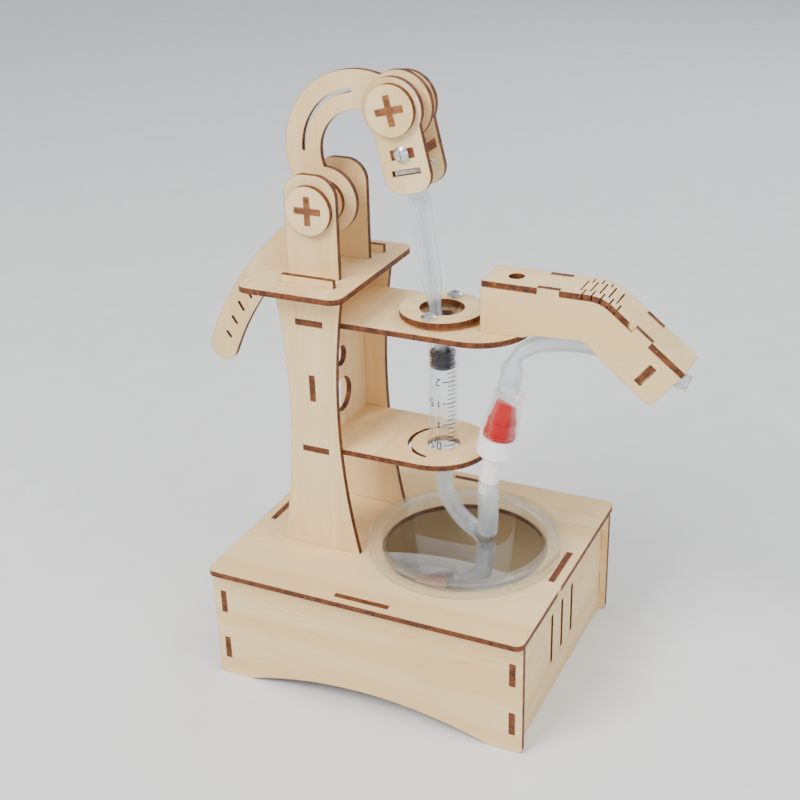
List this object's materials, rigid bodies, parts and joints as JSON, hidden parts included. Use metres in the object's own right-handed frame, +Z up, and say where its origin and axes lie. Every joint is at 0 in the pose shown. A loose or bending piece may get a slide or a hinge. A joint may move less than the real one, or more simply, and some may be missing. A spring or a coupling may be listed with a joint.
{
  "type": "hand pump demonstration kit",
  "caption": "Laser-cut plywood hand pump model: a lever works a small syringe through two duckbill valves, lifting water from a cup to a boxed spout.",
  "frame": {"origin": "on the ground under the middle of the base box", "axes": "+X towards the spout, +Y towards the back, +Z up"},
  "size_m": [0.1771, 0.1, 0.2138],
  "materials": {
    "plywood": "laser-cut birch plywood, burnt edges",
    "clear_plastic": "clear moulded plastic",
    "silicone": "translucent silicone tube",
    "white_plastic": "white moulded plastic",
    "red_rubber": "soft satin",
    "black_rubber": "smooth",
    "steel": "zinc-plated, bright"
  },
  "bodies": {
    "frame": {"base_top_plate": "plywood", "base_front_plate": "plywood", "base_back_plate": "plywood", "base_left_plate": "plywood", "base_right_plate": "plywood", "cup": "clear_plastic", "pillar_front": "plywood", "pillar_rear": "plywood", "tower_web": "plywood", "lower_shelf": "plywood", "upper_shelf": "plywood", "platform": "plywood", "ear_front": "plywood", "ear_rear": "plywood", "pivot_strip_flat": "plywood", "pivot_strip_upright": "plywood", "pivot_cap_front": "plywood", "pivot_cap_rear": "plywood", "pivot_washers": "plywood", "syringe_barrel": "clear_plastic", "clamp_ring": "plywood", "ring_screws": "steel", "ring_nuts": "steel", "nozzle_hose": "silicone", "tee_connector": "clear_plastic", "riser_hose": "silicone", "elbow_hose": "silicone", "spout_hose": "silicone", "outlet_cap": "white_plastic", "outlet_housing": "clear_plastic", "outlet_duckbill": "red_rubber", "inlet_cap": "white_plastic", "inlet_housing": "clear_plastic", "inlet_duckbill": "red_rubber", "spout_side_front": "plywood", "spout_side_rear": "plywood", "spout_cover": "plywood", "spout_partition": "plywood"},
    "lever": {"lever": "plywood"},
    "link": {"link_plate_front": "plywood", "link_plate_rear": "plywood", "link_strip_flat": "plywood", "link_strip_upright": "plywood", "link_cap_front": "plywood", "link_cap_rear": "plywood", "link_washers": "plywood", "link_bar": "plywood", "link_screw": "steel", "link_nut": "steel", "plunger_rod": "clear_plastic"},
    "piston": {"piston_seal": "black_rubber"}
  },
  "joints": [
    {"name": "lever_pivot", "type": "hinge", "parent": "frame", "child": "lever", "pos_m": [-0.0305, 0, 0.1687], "axis": [0, 1, 0], "range_deg": [0, 30]},
    {"name": "link_pivot", "type": "hinge", "parent": "lever", "child": "link", "pos_m": [-0.0026, 0, 0.2025], "axis": [0, 1, 0], "range_deg": [-21, 0]},
    {"name": "piston_slide", "type": "slide", "parent": "frame", "child": "piston", "axis": [0, 0, -1], "range_m": [0, 0.0192]}
  ],
  "couplings": [
    {"joint": "link_pivot", "follows": "lever_pivot", "ratio": -0.69},
    {"joint": "piston_slide", "follows": "lever_pivot", "m_per_rad": 0.0363}
  ]
}
